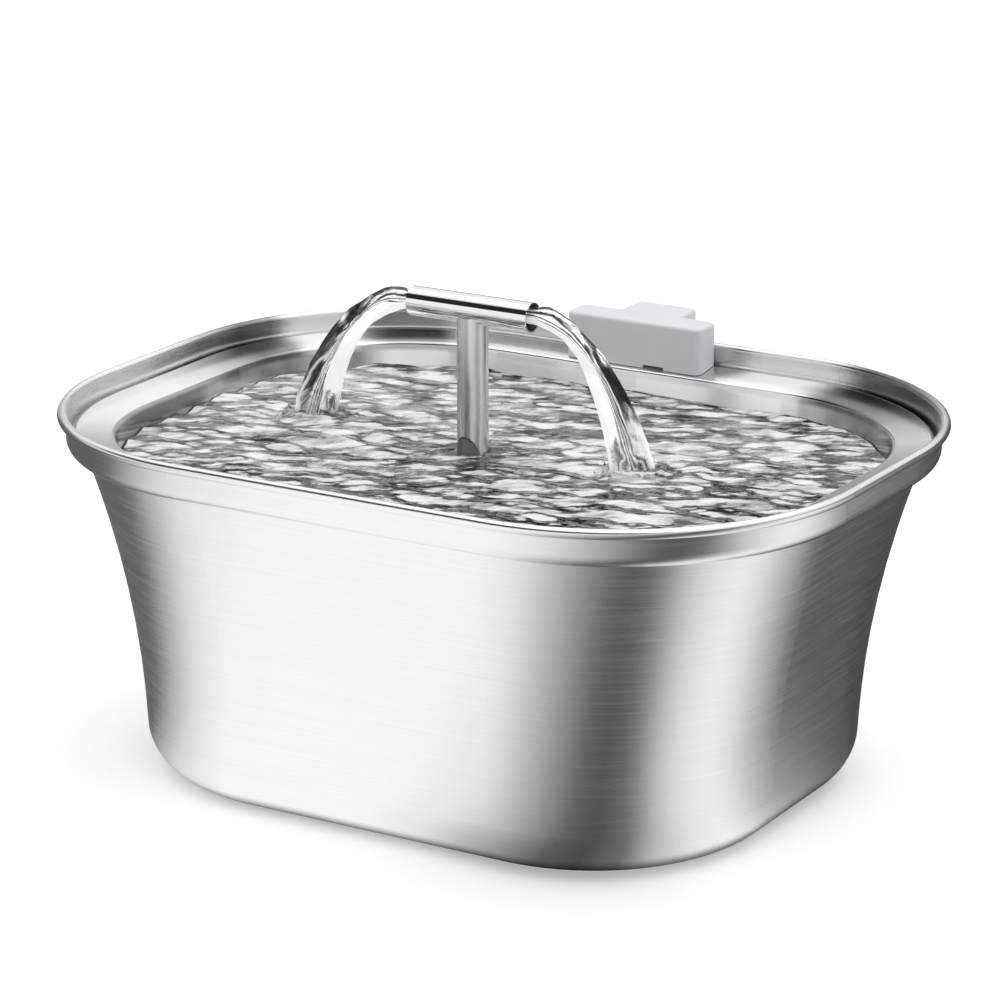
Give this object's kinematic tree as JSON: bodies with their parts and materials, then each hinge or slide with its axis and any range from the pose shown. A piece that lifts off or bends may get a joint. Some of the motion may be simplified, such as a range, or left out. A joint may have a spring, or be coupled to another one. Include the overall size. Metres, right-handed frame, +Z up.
{
  "type": "pet water fountain",
  "caption": "Flared steel water tank with a rolled rim, a dished drinking tray, a T-shaped spout tube, a cord clip on the rim and a pump with filters inside.",
  "frame": {"origin": "centre of the tank's flat base, on the surface that the fountain stands on", "axes": "+X along the long side, +Y towards the side with the cord clip, +Z up"},
  "size_m": [0.34, 0.279, 0.1943],
  "materials": {
    "steel_tank": "satin, brushed along the walls",
    "steel_tray": "satin",
    "steel_riser": "satin",
    "steel_cross": "polished",
    "clip_plastic": "fine satin, pale lavender grey",
    "adapter_plastic": "satin slate grey",
    "silicone": "translucent grey",
    "black_rubber": "matte",
    "box_plastic": "satin light grey",
    "lid_plastic": "satin light grey",
    "cartridge_plastic": "satin white",
    "carbon": "granular activated carbon in a fleece bag",
    "foam": "open-cell foam",
    "pump_plastic": "satin black",
    "dial_plastic": "gloss grey",
    "impeller_plastic": "gloss white",
    "magnet": "ferrite, ground",
    "ceramic": "polished ceramic",
    "laminations": "stacked steel sheet",
    "copper": "enamelled wire",
    "epoxy": "cast black epoxy"
  },
  "bodies": {
    "tank": {"tank": "steel_tank"},
    "tray": {"tray": "steel_tray", "tray_grommet": "silicone"},
    "faucet": {"riser_tube": "steel_riser", "cross_tube": "steel_cross", "faucet_adapter": "adapter_plastic", "adapter_seal": "black_rubber"},
    "clip": {"cord_clip": "clip_plastic"},
    "filter_module": {"filter_box": "box_plastic", "suction_cups": "silicone"},
    "lid": {"filter_lid": "lid_plastic"},
    "filter_set": {"cartridge_frame": "cartridge_plastic", "cartridge_media": "carbon", "foam_block": "foam"},
    "pump": {"pump_housing": "pump_plastic", "volute_seal": "black_rubber", "impeller_cover": "pump_plastic", "strainer_cover": "pump_plastic", "rotor_shaft": "ceramic", "front_bush": "black_rubber", "rear_bush": "black_rubber", "stator_core": "laminations", "stator_coil": "copper", "potting_plug": "epoxy", "cord_gland": "black_rubber", "outlet_hose": "silicone"},
    "dial": {"flow_dial": "dial_plastic"},
    "rotor": {"impeller": "impeller_plastic", "rotor_magnet": "magnet"}
  },
  "joints": [
    {"name": "tray_lift", "type": "slide", "parent": "tank", "child": "tray", "axis": [0, 0, 1], "range_m": [0, 0.3]},
    {"name": "faucet_pull", "type": "slide", "parent": "tray", "child": "faucet", "axis": [0, 0, 1], "range_m": [0, 0.06]},
    {"name": "clip_pull", "type": "slide", "parent": "tray", "child": "clip", "axis": [0, 0, 1], "range_m": [0, 0.04]},
    {"name": "module_lift", "type": "slide", "parent": "tank", "child": "filter_module", "axis": [0, 0, 1], "range_m": [0, 0.15]},
    {"name": "lid_lift", "type": "slide", "parent": "filter_module", "child": "lid", "axis": [0, 0, 1], "range_m": [0, 0.099]},
    {"name": "filter_set_pull", "type": "slide", "parent": "filter_module", "child": "filter_set", "axis": [0, 0, 1], "range_m": [0, 0.069]},
    {"name": "pump_pull", "type": "slide", "parent": "filter_module", "child": "pump", "axis": [0, 0, 1], "range_m": [0, 0.069]},
    {"name": "dial_turn", "type": "hinge", "parent": "pump", "child": "dial", "pos_m": [-0.0135, 0, 0.0359], "axis": [1, 0, 0], "range_deg": [0, 90]},
    {"name": "rotor_spin", "type": "hinge", "parent": "pump", "child": "rotor", "pos_m": [-0.0135, 0, 0.0359], "axis": [1, 0, 0], "continuous": true}
  ],
  "couplings": [
    {"joint": "module_lift", "follows": "tray_lift", "ratio": 0.5},
    {"joint": "lid_lift", "follows": "tray_lift", "ratio": 0.33},
    {"joint": "filter_set_pull", "follows": "tray_lift", "ratio": 0.23},
    {"joint": "pump_pull", "follows": "tray_lift", "ratio": 0.23}
  ]
}
